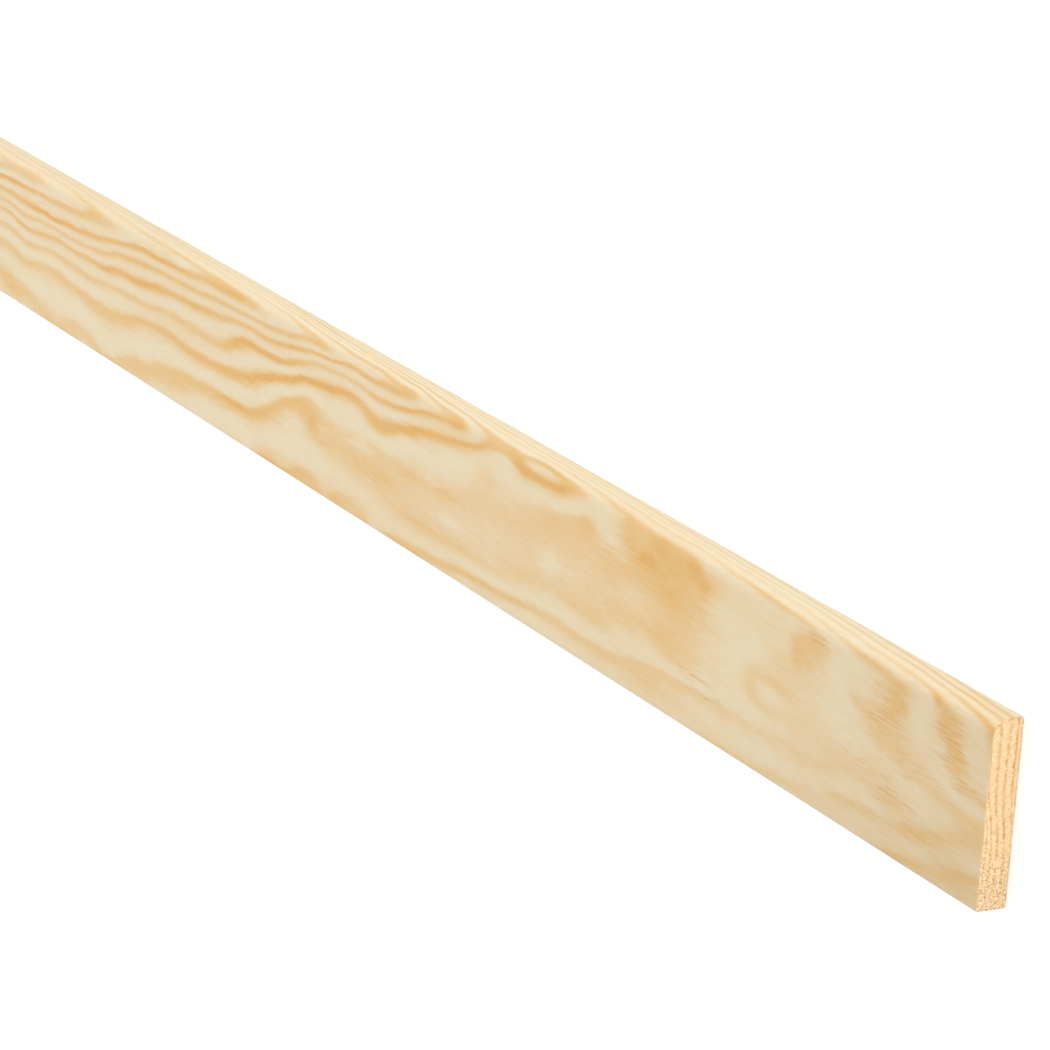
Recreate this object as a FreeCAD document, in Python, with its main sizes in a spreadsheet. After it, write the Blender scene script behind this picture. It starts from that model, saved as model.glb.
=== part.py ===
"""Pencil-round skirting board: one planed softwood length, lying on its back.

The board runs along X, its front face looks up (+Z), its rounded upper edge is at +Y and
the edge that stands on the floor of a room is at -Y. The origin is at the middle of the
back, on the surface that the board lies on. Sizes are in millimetres.
"""

import FreeCAD
import Part
import Sketcher
import math
import os

# Driving sizes: name, value in millimetres, what it is.
SIZES = [
    ("board_length", 2400.0, "stock length between the two sawn ends"),
    ("face_width", 69.0, "lower edge to upper edge, the height when fitted"),
    ("board_thickness", 12.0, "back to front face"),
    ("roundover_radius", 6.0, "pencil round between the front face and the upper edge"),
    ("arris_radius", 0.5, "slight easing of the other three long arrises"),
]

# Both ends of a line or an arc, as the sketch numbers them.
START = 1
END = 2


def make_sheet(doc):
    """Put every driving size in a cell of its own, with its name as the alias."""
    sheet = doc.addObject("Spreadsheet::Sheet", "Sizes")
    for row, (name, value, meaning) in enumerate(SIZES, start=1):
        sheet.set(f"A{row}", name)
        sheet.set(f"B{row}", str(value))
        sheet.set(f"C{row}", meaning)
        sheet.setAlias(f"B{row}", name)
    doc.recompute()
    return sheet


def origin_plane(body, role):
    """Return the body's own origin plane with this role."""
    for feature in body.Origin.OriginFeatures:
        if feature.Role == role:
            return feature
    raise ValueError(f"{body.Label} has no {role}")


def line(start, end):
    """Straight side of the profile between two (Y, Z) points."""
    return Part.LineSegment(FreeCAD.Vector(*start, 0), FreeCAD.Vector(*end, 0))


def quarter_arc(center, radius, first_degrees):
    """Quarter circle that starts in this direction and runs counter-clockwise."""
    circle = Part.Circle(FreeCAD.Vector(*center, 0), FreeCAD.Vector(0, 0, 1), radius)
    first = math.radians(first_degrees)
    return Part.ArcOfCircle(circle, first, first + math.pi / 2)


def draw_profile(sketch, sheet):
    """Draw the planed section: four flat sides joined by four tangent arcs."""
    half_width = sheet.face_width / 2
    top = sheet.board_thickness
    big = sheet.roundover_radius
    small = sheet.arris_radius

    # Counter-clockwise, as seen from the +X end of the board.
    outline = [
        line((-half_width + small, 0), (half_width - small, 0)),
        quarter_arc((half_width - small, small), small, 270),
        line((half_width, small), (half_width, top - big)),
        quarter_arc((half_width - big, top - big), big, 0),
        line((half_width - big, top), (-half_width + small, top)),
        quarter_arc((-half_width + small, top - small), small, 90),
        line((-half_width, top - small), (-half_width, small)),
        quarter_arc((-half_width + small, small), small, 180),
    ]
    sketch.addGeometry(outline, False)
    back, back_upper_arris, upper_edge, roundover = 0, 1, 2, 3
    front, front_lower_arris, lower_edge, back_lower_arris = 4, 5, 6, 7

    for side in range(len(outline)):
        following = (side + 1) % len(outline)
        sketch.addConstraint(Sketcher.Constraint("Tangent", side, END, following, START))
    for side in (back, front):
        sketch.addConstraint(Sketcher.Constraint("Horizontal", side))
    for side in (upper_edge, lower_edge):
        sketch.addConstraint(Sketcher.Constraint("Vertical", side))

    # The back lies on the base plane, centred on the origin.
    sketch.addConstraint(Sketcher.Constraint("Symmetric", back, START, back, END, -1, START))

    # The sizes of the section, each bound to its cell.
    bound = [
        ("face_width", Sketcher.Constraint("DistanceX", lower_edge, START, upper_edge, START,
                                           2 * half_width)),
        ("board_thickness", Sketcher.Constraint("DistanceY", back, START, front, END, top)),
        ("roundover_radius", Sketcher.Constraint("Radius", roundover, big)),
        ("arris_radius", Sketcher.Constraint("Radius", back_upper_arris, small)),
    ]
    for name, constraint in bound:
        index = sketch.addConstraint(constraint)
        sketch.renameConstraint(index, name)
        sketch.setExpression(f"Constraints.{name}", f"Sizes.{name}")
    for arris in (front_lower_arris, back_lower_arris):
        sketch.addConstraint(Sketcher.Constraint("Equal", back_upper_arris, arris))


def make_board(doc, sheet):
    """Run the planed section along the whole length and leave both ends sawn square."""
    board = doc.addObject("PartDesign::Body", "skirting_board")
    board.Label = "skirting_board"

    profile = board.newObject("Sketcher::SketchObject", "planed_section")
    profile.AttachmentSupport = [(origin_plane(board, "YZ_Plane"), "")]
    profile.MapMode = "FlatFace"
    draw_profile(profile, sheet)
    doc.recompute()

    length = board.newObject("PartDesign::Pad", "stock_length")
    length.Profile = profile
    length.SideType = "Symmetric"
    length.setExpression("Length", "Sizes.board_length")
    board.Tip = length
    return board


def check(doc, pieces):
    """Stop before anything is written if an object failed or a shape is not sound."""
    for item in doc.Objects:
        if "Invalid" in item.State or "Error" in item.State:
            raise RuntimeError(f"{item.Label} did not build: {item.State}")
    for piece in pieces:
        shape = piece.Shape
        if shape.isNull() or not shape.isValid() or len(shape.Solids) != 1:
            raise RuntimeError(f"{piece.Label} is not one sound solid")


def main():
    doc = FreeCAD.newDocument("skirting_board_length")
    sheet = make_sheet(doc)
    pieces = [make_board(doc, sheet)]
    doc.recompute()
    check(doc, pieces)

    os.makedirs("parts", exist_ok=True)
    for piece in pieces:
        piece.Shape.exportStep(os.path.join("parts", f"{piece.Label}.step"))
        box = piece.Shape.BoundBox
        print(f"{piece.Label}: {box.XLength:.2f} x {box.YLength:.2f} x {box.ZLength:.2f} mm, "
              f"{piece.Shape.Volume / 1000:.1f} cm3, {len(piece.Shape.Faces)} faces")


main()
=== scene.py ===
"""Pencil-round skirting board in planed pine, lying on its back on a pale studio floor.

A place on the board is (u, w, t) in millimetres: u from the near sawn end, w from the lower
edge up the face, and t from the front face into the board. A height s is measured along the
surface instead: up the face, round the edge and on over the upper edge. One field of ring
values runs through the whole board, and a ring is darkest where the field is a whole number.
"""
import math

import bpy
import numpy as np
from mathutils import Matrix, Vector


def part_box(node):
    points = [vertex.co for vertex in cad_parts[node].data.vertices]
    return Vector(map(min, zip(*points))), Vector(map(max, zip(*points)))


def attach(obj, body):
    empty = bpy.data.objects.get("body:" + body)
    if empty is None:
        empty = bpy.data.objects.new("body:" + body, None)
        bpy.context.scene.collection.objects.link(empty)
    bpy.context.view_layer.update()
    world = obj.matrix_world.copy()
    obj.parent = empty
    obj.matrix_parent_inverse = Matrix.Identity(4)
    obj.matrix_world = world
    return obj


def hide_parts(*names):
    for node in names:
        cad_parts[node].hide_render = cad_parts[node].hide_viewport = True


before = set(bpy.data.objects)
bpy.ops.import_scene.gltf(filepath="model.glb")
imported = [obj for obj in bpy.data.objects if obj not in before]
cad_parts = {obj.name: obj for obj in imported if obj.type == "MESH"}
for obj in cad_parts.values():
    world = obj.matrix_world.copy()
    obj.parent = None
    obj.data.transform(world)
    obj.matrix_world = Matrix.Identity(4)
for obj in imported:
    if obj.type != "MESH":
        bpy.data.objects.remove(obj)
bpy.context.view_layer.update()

# The board in millimetres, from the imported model, and the two radii of its section.
NODE = "skirting_board"
low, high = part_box(NODE)
LENGTH = (high.x - low.x) * 1000
WIDTH = (high.y - low.y) * 1000
THICKNESS = (high.z - low.z) * 1000
ROUND = 6.0
EASED = 0.5
ROUND_START = WIDTH - ROUND
ROUND_END = ROUND_START + ROUND * math.pi / 2
BACK_HEIGHT = ROUND_END + THICKNESS - ROUND

# Growth rings of the near 0.88 m, read off the photograph: the places (u, s) that the
# dark line of each ring passes, first on the face and then round the edge.
RINGS = {
    0: [(858, 65.6), (850, 65.7), (840, 65.7), (830, 65.8), (822, 66)],
    1: [(880, 57), (870, 57.5), (860, 58.3), (850, 58.4), (840, 58.8), (820, 59.5), (800, 59.8),
        (790, 60), (780, 60.4), (770, 61.4), (762, 62.8), (757, 64.4), (757, 66.7), (762, 67.4),
        (770, 67.9), (780, 68.6), (790, 69.4), (800, 69.7), (820, 69.7), (840, 69.9), (860, 70.3),
        (880, 70.8)],
    2: [(880, 50), (870, 51), (840, 51), (820, 51.3), (800, 50.7), (790, 52.1), (770, 52.6), (760, 54),
        (750, 54.7), (740, 56), (730, 57.3), (720, 58.5), (710, 60), (700, 60.9), (690, 60.7), (680, 61),
        (670, 62), (650, 62.6), (640, 63), (630, 63.9), (620, 65), (620, 67.2), (640, 67.7), (660, 68),
        (680, 68.5), (700, 68.8), (720, 69.4), (740, 70), (770, 71.2)],
    3: [(880, 45), (870, 46), (840, 45), (820, 46), (800, 47), (780, 46.5), (760, 47.5), (750, 48.3),
        (740, 49.5), (730, 51.7), (720, 53), (710, 53.5), (700, 54.5), (680, 55.5), (660, 56),
        (640, 56.6), (620, 57.8), (600, 58.6), (580, 59.2), (560, 60), (550, 60.6), (540, 61.7),
        (530, 63.2), (522, 64.3), (522, 66.5), (530, 67.3), (540, 68.1), (550, 69), (560, 69.3),
        (580, 69.8), (600, 70), (620, 70.3), (660, 71), (700, 72)],
    4: [(880, 40), (870, 41), (860, 42), (850, 41.2), (840, 39.6), (830, 39.2), (820, 40), (810, 41),
        (800, 42), (780, 41.6), (760, 42), (740, 42.2), (730, 43.8), (720, 45), (710, 45.2), (700, 44.8),
        (690, 46.3), (680, 47.6), (670, 48.6), (650, 49.1), (640, 49.6), (630, 50.4), (620, 51),
        (610, 51.6), (600, 53), (590, 54), (570, 53.6), (560, 54), (550, 55.5), (540, 57), (530, 58),
        (520, 60), (510, 60.5), (500, 61.2), (490, 62.5), (480, 63.1), (470, 62.6), (460, 62.5),
        (453, 63.2), (450, 67.2), (460, 67.9), (470, 68.1), (490, 68.2), (500, 68.8), (510, 69.1),
        (520, 69.5), (540, 70.8), (560, 71.5), (600, 72.6)],
    5: [(880, 33), (870, 34), (860, 34.6), (850, 34), (840, 32.5), (835, 31.8), (820, 33), (810, 34),
        (800, 34.5), (780, 34), (760, 33.6), (750, 33.3), (740, 34.5), (720, 35.6), (700, 36.5),
        (690, 36.6), (680, 37.5), (670, 38.5), (650, 38.6), (630, 38.2), (620, 38.1), (612, 39),
        (605, 41.2), (600, 43.2), (595, 45.7), (590, 46.9), (580, 47.3), (560, 47.2), (550, 48),
        (540, 50), (530, 52.4), (520, 54.8), (510, 56), (490, 57), (480, 57.1), (470, 56.6), (460, 56),
        (450, 56.4), (440, 57.5), (430, 58.7), (420, 60.6), (410, 62.4), (400, 63.3), (392, 63.4),
        (392, 66.9), (400, 67.3), (410, 67.8), (420, 69), (430, 70), (450, 70.4), (480, 70.6),
        (500, 71.2), (540, 73.2), (580, 75)],
    6: [(880, 24), (860, 25.5), (850, 25), (840, 23.5), (830, 22.6), (820, 24), (810, 25.4), (800, 26),
        (780, 24.6), (760, 23.4), (750, 21.5), (740, 21.7), (730, 22.5), (720, 23.5), (710, 26),
        (700, 28), (680, 28.9), (660, 29), (650, 28.3), (640, 27.8), (630, 27.6), (620, 28), (600, 29.6),
        (590, 31), (580, 32.6), (575, 33.7), (570, 35.4), (565, 37), (560, 38.4), (550, 40.4),
        (540, 42.5), (530, 45.5), (520, 47.3), (510, 48), (500, 49), (490, 50.7), (480, 50.8), (470, 49),
        (465, 47.3), (460, 45.6), (455, 44.3), (450, 45.9), (440, 48.9), (430, 51), (420, 52.9),
        (410, 54), (400, 55.2), (390, 57), (380, 58.2), (370, 60.2), (365, 62.4), (360, 64.6),
        (350, 65.6), (343, 63.8), (335, 62.2), (325, 61.7), (315, 61.8), (305, 62), (299, 62.8),
        (294, 64.8), (290, 66), (345, 66.5), (336, 66.5), (330, 67.1), (320, 67.7), (310, 67.5),
        (300, 67), (365, 67.4), (370, 68), (375, 68.8), (380, 69.3), (390, 70), (400, 70.3), (410, 70.5),
        (420, 71.2), (440, 71.9), (480, 72.3), (510, 73.3), (540, 74.8), (580, 77.5)],
    7: [(865, 9.5), (850, 9), (830, 7), (815, 4.5), (800, 2.5), (785, 2), (770, 5), (755, 5), (745, 2.5),
        (725, 1), (715, 4), (705, 6.2), (695, 7), (688, 8), (680, 10.5), (670, 11.3), (660, 11),
        (650, 13.2), (640, 14.7), (620, 15.9), (600, 16.2), (590, 15.9), (580, 16.9), (570, 18.8),
        (565, 20.7), (560, 23.6), (555, 26), (550, 28.7), (540, 32.6), (535, 34.7), (530, 36.2),
        (526, 36.4), (521, 33.5), (517, 30), (512, 27), (505, 24.5), (350, 70.5), (340, 70.3),
        (320, 70.5), (300, 70), (290, 69.6), (280, 69.3), (270, 68.6), (260, 67.7), (360, 70.8),
        (370, 71.3), (380, 71.8), (390, 72.3), (400, 72.9), (420, 73.8), (440, 74.5), (460, 75),
        (490, 75.2), (510, 76), (540, 77.3)],
    8: [(565, 0.5), (550, 1), (530, 3), (520, 4.5), (513, 4), (490, 3), (480, 4), (470, 3.3), (440, 0.8),
        (430, 1.3), (420, 1.9), (410, 2.8), (400, 3.4), (390, 4), (380, 5.3), (360, 6), (340, 6.6),
        (330, 7.4), (320, 8.4), (310, 9), (300, 9.2), (290, 8.6), (270, 8.5), (260, 8.9), (250, 9.8),
        (240, 11), (230, 12), (220, 13.2), (210, 14.7), (200, 15.4), (190, 15.6), (170, 15.4),
        (150, 15.4), (140, 15.8), (130, 16.5), (115, 17.5), (100, 18.3), (156, 32), (154, 28.6),
        (149, 26), (142, 24.8), (134, 25), (154, 35), (148, 37), (140, 37.2), (132, 38), (128, 44),
        (126, 50), (124, 56), (120, 59), (116, 61.6), (170, 67.8), (160, 67.5), (150, 67), (140, 66),
        (130, 65.5), (120, 65.3), (114, 64), (180, 68.4), (190, 69.2), (200, 69.7), (210, 69.7),
        (220, 69.3), (230, 69.6), (240, 70.3), (250, 70.9), (260, 71.1), (270, 71.8), (290, 72.3),
        (310, 72.7), (350, 73.1), (400, 75.2), (440, 77)],
    9: [(180, 0.3), (160, 1.2), (140, 2.4), (130, 3), (120, 4.4), (110, 5.6), (100, 7.3), (90, 9.4),
        (80, 10.9), (70, 11.3), (60, 11.4), (50, 12.6), (40, 14.2), (30, 17), (20, 19.5), (10, 22.5),
        (0, 24), (84, 48.5), (77, 46), (70, 42.5), (62, 38.5), (50, 36.3), (38, 34), (25, 31.5), (10, 30),
        (0, 29.5), (180, 71.2), (160, 70.8), (140, 70), (130, 69.5), (120, 69), (110, 67.8), (100, 67.2),
        (90, 66.2), (80, 65.1), (70, 64.2), (62, 63), (190, 71.6), (210, 71.9), (230, 72.2), (240, 72.7),
        (250, 73.2), (260, 73.4), (270, 74), (280, 74.4), (300, 74.9), (350, 75.4), (400, 77.3)],
    10: [(60, 0), (50, 1.6), (40, 3.2), (30, 5.2), (20, 7.2), (10, 9.2), (0, 10.5), (36, 65.6),
         (32, 63.5), (28, 58.5), (25, 53), (22.5, 47), (19, 42), (13, 39.4), (5, 38.2), (0, 37.7),
         (180, 74), (160, 73.7), (140, 73), (120, 72.4), (110, 71.6), (100, 71), (90, 70.1), (80, 69.3),
         (70, 68.9), (60, 68.6), (50, 68), (45, 67.3), (40, 66.7), (190, 74.6), (200, 75.2), (220, 75.8),
         (260, 76.5), (290, 77.3), (350, 78)],
    11: [(180, 77.3), (150, 76.6), (120, 75.5), (100, 74.3), (90, 73.7), (80, 72.9), (70, 72.4),
         (60, 72.1), (50, 71.4), (40, 70.5), (30, 69.4), (20, 68.5), (10, 67.3), (5, 66.4), (0, 65)],
    12: [(110, 78.2), (90, 77.6), (80, 77), (70, 76.4), (60, 75.8), (50, 74.8), (40, 73.8), (30, 72.8),
         (20, 72), (10, 71), (0, 70)],
    13: [(40, 77.4), (20, 76), (10, 75), (0, 74)],
}

# Places between the dark lines, or inside a broad ring: (u, s, ring value).
BETWEEN_RINGS = [
    # Merged tips beside the rounded edge
    (875, 65.5, -0.3), (805, 65.4, 0.3), (780, 65.2, 0.55), (750, 65.3, 1.0), (738, 65.2, 1.08),
    (726, 65.3, 1.25), (700, 65.3, 1.5), (660, 65.4, 1.6), (640, 65.6, 1.75), (610, 65.9, 2.0),
    (595, 65.6, 2.02), (580, 65.3, 2.1), (570, 65.3, 2.25), (550, 65.3, 2.55), (535, 65.4, 2.75),
    (514, 65.3, 3.02), (507, 65.2, 3.14), (498, 65.5, 3.4), (480, 65.6, 3.6), (460, 65.4, 3.75),
    (437, 66.3, 4.0), (428, 66.3, 4.1), (420, 66.1, 4.3), (408, 65.6, 4.6), (388, 64.6, 5.0),
    (382, 65, 5.16), (374, 65, 5.5), (400, 65.2, 4.85), (355, 66, 5.98), (320, 65, 5.72),
    (334, 64.8, 5.85), (308, 65.2, 5.78), (285, 66.4, 6.22), (275, 66, 6.5),
    # Pale zone between the sixth and seventh rings
    (850, 16, 6.5), (800, 14, 6.5), (760, 14, 6.5), (737, 5, 6.62), (720, 12, 6.5), (690, 18, 6.45),
    (640, 21, 6.45), (600, 23, 6.45), (570, 27, 6.45), (540, 37.4, 6.42), (552, 35.8, 6.42),
    (562, 32, 6.43), (510, 42, 6.42), (480, 43, 6.45), (455, 39.5, 6.42), (445, 41.5, 6.42),
    (432, 44.5, 6.45), (415, 46, 6.45), (400, 46, 6.45), (380, 51, 6.45), (355, 60, 6.4),
    (345, 60.5, 6.4), (340, 55, 6.5), (320, 55, 6.5), (300, 57, 6.45), (280, 62, 6.5), (265, 60, 6.55),
    (260, 55, 6.6), (258, 64, 6.58),
    # The broad seventh ring, cut nearly along its surface
    (253, 62, 6.84), (252, 56, 6.84), (256, 49.5, 6.84), (245, 60, 6.9), (230, 55, 7.0), (215, 58, 7.0),
    (200, 62, 7.02), (192, 58, 7.03), (215, 45, 7.0), (200, 45, 7.05), (235, 62, 6.93), (225, 65, 7.0),
    (205, 65, 7.05), (183, 60, 7.2), (176, 58, 7.27), (185, 48, 7.22), (188, 36, 7.2), (186, 25, 7.2),
    (165, 60, 7.45), (160, 45, 7.5), (170, 33, 7.5), (165, 22, 7.55), (150, 58, 7.55), (140, 52, 7.6),
    (150, 47, 7.6), (165, 52, 7.5), (500, 34, 6.85), (480, 35, 6.85), (472, 33, 6.75), (460, 35.5, 6.85),
    (440, 35, 6.86), (424, 37.5, 6.85), (414, 34, 6.85), (400, 35.5, 6.86), (388, 38, 6.86),
    (380, 42, 6.86), (374, 45, 6.86), (368, 51, 6.86), (360, 53, 6.84), (352, 47, 6.84),
    (340, 45.5, 6.86), (328, 47.5, 6.86), (318, 51, 6.86), (300, 53, 6.86), (288, 55, 6.86),
    (281, 58, 6.84), (272, 54.5, 6.85), (262, 51.5, 6.85), (490, 27, 6.98), (460, 26, 7.0),
    (440, 24, 7.02), (430, 31, 6.97), (410, 28, 7.03), (395, 32, 6.98), (370, 33, 7.05), (350, 33, 7.0),
    (330, 38, 7.0), (305, 45, 6.97), (280, 50, 6.97), (270, 40, 7.02), (250, 43, 7.02), (238, 31, 7.03),
    (220, 32, 7.05), (205, 30, 7.06), (390, 22, 7.16), (308, 31, 7.16), (240, 36, 7.12),
    (500, 20.5, 7.15), (480, 18.5, 7.15), (455, 15, 7.14), (430, 12.5, 7.15), (400, 11.5, 7.15),
    (380, 12.5, 7.15), (360, 12, 7.15), (340, 13.5, 7.15), (330, 15.5, 7.15), (320, 17.5, 7.15),
    (300, 19, 7.15), (280, 18.5, 7.15), (262, 18, 7.15), (257, 22, 7.17), (250, 26, 7.15),
    (230, 26.5, 7.15), (212, 23, 7.15), (195, 22, 7.12),
    # Pale zone between the seventh and eighth rings
    (690, 0, 7.3), (640, 6, 7.4), (600, 8, 7.5), (560, 12, 7.45), (540, 20, 7.4), (520, 17, 7.4),
    (500, 12, 7.45), (470, 11, 7.45), (440, 8, 7.5), (410, 7.5, 7.5), (380, 9, 7.5), (350, 9.5, 7.5),
    (320, 13, 7.5), (290, 14, 7.5), (260, 14, 7.45), (240, 19.5, 7.42), (220, 19.5, 7.45), (200, 19, 7.5),
    (180, 19.5, 7.55), (150, 20.5, 7.6), (130, 21, 7.75), (547, 3, 7.62), (506, 3, 7.65), (455, 0, 7.75),
    (580, 0, 7.8),
    # Light inside the hook, the broad eighth ring, and what lies round it
    (143, 31, 8.35), (136, 31, 8.28), (125, 31, 8.1), (115, 38, 8.12), (120, 44, 8.02), (110, 46, 8.18),
    (115, 53, 8.0), (108, 59, 8.0), (104, 61, 8.12), (100, 60.5, 8.25), (112, 50, 8.08), (105, 54, 8.2),
    (128, 61, 7.75), (131, 55, 7.75), (95, 55, 8.5), (90, 45, 8.5), (95, 38, 8.45), (80, 35, 8.5),
    (65, 30.8, 8.4), (105, 30, 8.2), (90, 27.5, 8.12), (75, 26, 8.1), (60, 22, 8.0), (55, 19.5, 8.0),
    (50, 22, 8.1), (80, 21, 8.15), (100, 23, 8.05), (120, 21, 7.97), (75, 17, 8.35), (90, 14.5, 8.4),
    (110, 12, 8.45), (140, 9, 8.5), (170, 8, 8.4), (200, 8, 8.3), (225, 6, 8.2), (250, 4, 8.4),
    (290, 3, 8.5), (340, 2, 8.5), (390, 0, 8.4), (14, 44, 10.3), (38, 25, 8.55), (28, 25, 8.62),
    (48, 27, 8.4), (60, 14.5, 8.55), (45, 29.5, 8.55), (36, 20, 8.6), (22, 26, 8.8),
    # Ninth ring above and the pale zone beyond it
    (72, 60, 8.82), (66, 57, 8.93), (74, 54, 8.8), (60, 60, 9.02), (57, 56, 9.05), (58, 50, 9.05),
    (66, 49, 8.98), (80, 50.5, 8.84), (55, 62, 9.08), (51, 58, 9.2), (50, 52, 9.22), (48, 45, 9.2),
    (42, 41, 9.2), (35, 37.5, 9.2), (45, 62, 9.45), (44, 52, 9.5), (38, 46, 9.5), (30, 41, 9.5),
    (20, 36, 9.5), (10, 34, 9.45), (0, 33.7, 9.4), (45, 65.5, 9.5), (40, 58, 9.6), (95, 64.5, 8.65),
    (85, 60, 8.6),
    # Tenth ring and the pale corner beyond it
    (22, 61, 10.05), (18, 57, 10.1), (16, 50, 10.12), (14, 45, 10.12), (12, 60, 10.4), (9, 52, 10.45),
    (5, 46, 10.4), (3, 57, 10.6), (25, 65.5, 10.3), (15, 65, 10.55), (33, 55, 9.8), (28, 47, 9.82),
    (20, 41.5, 9.85),
    # Between the ninth and tenth rings at the lower edge
    (20, 13, 9.5), (40, 8, 9.5), (60, 5, 9.45), (80, 5, 9.4), (100, 2, 9.4), (10, 3, 10.4),
    (25, 0, 10.35), (5, 16, 9.45),
]

# Ring values of the rest of the board, which the photograph doesn't show: for each u, one at
# each of these heights.
FAR_HEIGHTS = [0, 12, 24, 36, 48, 60, 66, 72, 78.4]
FAR_RINGS = {
    960: [7.0, 6.3, 5.3, 3.6, 1.5, 0.0, -0.4, 1.2, 3.2],
    1100: [6.6, 5.6, 4.3, 2.7, 1.0, -0.3, -0.5, 1.3, 3.3],
    1260: [6.3, 5.2, 3.7, 2.3, 0.9, -0.1, -0.3, 1.6, 3.6],
    1430: [6.7, 5.6, 4.4, 2.8, 1.3, 0.2, 0.0, 1.9, 3.9],
    1600: [6.2, 5.0, 3.5, 2.2, 0.9, -0.1, -0.2, 1.7, 3.7],
    1780: [5.6, 4.4, 3.0, 1.6, 0.4, -0.5, -0.7, 1.2, 3.3],
    1960: [5.2, 4.3, 3.1, 2.0, 0.8, -0.3, -0.6, 1.1, 3.2],
    2150: [5.7, 4.6, 3.2, 1.9, 0.6, -0.5, -0.9, 0.8, 2.9],
    2400: [5.3, 4.1, 2.8, 1.5, 0.3, -0.7, -1.1, 0.6, 2.7],
}

# How dark each ring shows along the board: (u, strength).
RING_STRENGTH = {
    0: [(815, 0.3), (880, 0.4)],
    1: [(735, 0.3), (757, 0.5), (775, 0.45), (820, 0.55), (840, 0.7), (852, 0.95), (880, 1.0)],
    2: [(575, 0.45), (600, 0.7), (640, 0.6), (680, 0.75), (700, 0.75), (720, 0.65), (765, 0.6),
        (780, 0.75), (800, 0.85), (822, 0.85), (840, 0.55), (880, 0.5)],
    3: [(505, 0.4), (515, 0.6), (530, 0.45), (620, 0.45), (670, 0.45), (700, 0.55), (740, 0.4),
        (800, 0.3), (880, 0.45)],
    4: [(422, 0.45), (437, 0.6), (457, 0.7), (480, 0.6), (500, 0.7), (520, 0.5), (540, 0.7), (580, 0.5),
        (620, 0.5), (640, 0.7), (660, 0.55), (702, 0.85), (720, 0.6), (740, 0.7), (760, 0.5), (800, 0.45),
        (832, 0.6), (880, 0.35)],
    5: [(383, 0.75), (400, 0.5), (440, 0.75), (480, 0.35), (520, 0.35), (540, 0.7), (560, 0.8),
        (595, 0.8), (620, 0.45), (700, 0.4), (780, 0.35), (880, 0.4)],
    6: [(288, 0.5), (300, 0.8), (325, 0.9), (350, 0.65), (380, 0.6), (420, 0.85), (475, 0.65),
        (500, 0.95), (560, 1.0), (580, 0.75), (620, 0.7), (680, 0.6), (760, 0.45), (880, 0.4)],
    7: [(190, 0.45), (225, 0.5), (260, 0.45), (350, 0.25), (430, 0.3), (490, 0.35), (512, 0.45),
        (530, 0.6), (560, 0.65), (600, 0.8), (620, 0.6), (680, 0.45), (760, 0.35), (880, 0.4)],
    8: [(100, 0.25), (160, 0.2), (200, 0.3), (300, 0.35), (360, 0.5), (430, 0.5), (480, 0.4), (560, 0.5)],
    9: [(0, 0.3), (30, 0.25), (58, 0.35), (80, 0.3), (180, 0.2)],
    10: [(0, 0.3), (20, 0.4), (40, 0.35), (60, 0.35)],
    11: [(0, 0.65), (15, 0.65), (40, 0.5), (180, 0.45)],
    12: [(0, 0.65), (60, 0.5), (110, 0.45)],
    13: [(0, 0.6), (40, 0.5)],
}

# Spots where a ring shows stronger or weaker than that, each laid over the ones before it:
# (u, s, reach along, reach up, strength).
STRENGTH_SPOTS = [
    (243, 60, 8, 6, 0.4), (240, 52, 8, 4, 0.6), (232, 54, 7, 4, 0.9), (222, 62, 8, 4, 0.75),
    (215, 48, 12, 8, 0.65), (212, 58, 12, 6, 0.65), (198, 61, 7, 5, 0.85), (190, 57, 6, 3, 0.85),
    (235, 32, 14, 5, 0.4), (205, 32, 14, 7, 0.4), (200, 23, 12, 2, 0.35), (300, 46, 18, 6, 0.4),
    (280, 53, 8, 4, 0.5), (460, 24, 25, 4, 0.5), (428, 33, 12, 4, 0.5), (395, 33, 14, 4, 0.45),
    (345, 33, 30, 8, 0.3), (335, 20, 20, 3, 0.35), (270, 22, 20, 3, 0.45), (410, 14, 25, 2, 0.45),
    (308, 31, 10, 5, 0.1), (390, 22, 14, 2, 0.05), (518, 29, 6, 4, 0.7), (57, 58, 6, 7, 0.6),
    (62, 51, 6, 3, 0.6), (70, 45, 8, 8, 0.4), (50, 35, 16, 3, 0.2), (10, 22, 12, 8, 0.25),
    (58, 20, 8, 3, 0.4), (40, 14, 12, 2, 0.3), (114, 59, 9, 5, 0.5), (105, 61.5, 5, 2, 0.5),
    (117, 51, 5, 3, 0.5), (124, 52, 5, 7, 0.5), (150, 66.5, 45, 1.5, 0.55), (75, 64.5, 20, 1.5, 0.5),
    (120, 38, 14, 8, 0.2), (120, 22, 22, 4, 0.15), (150, 31, 8, 7, 0.3), (138, 36, 12, 3, 0.35),
    (28, 59, 6, 5, 0.6), (21, 52, 6, 6, 0.65), (16, 43, 4, 3, 0.5), (30, 47, 4, 4, 0.1),
    (35, 65, 4, 2, 0.8), (6, 38, 8, 2, 0.3), (1, 63, 3, 4, 0.6), (80, 11, 14, 2, 0.3),
    (115, 6.5, 25, 3, 0.1), (58, 11.5, 10, 2, 0.2), (30, 6, 15, 3, 0.2),
]

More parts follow.
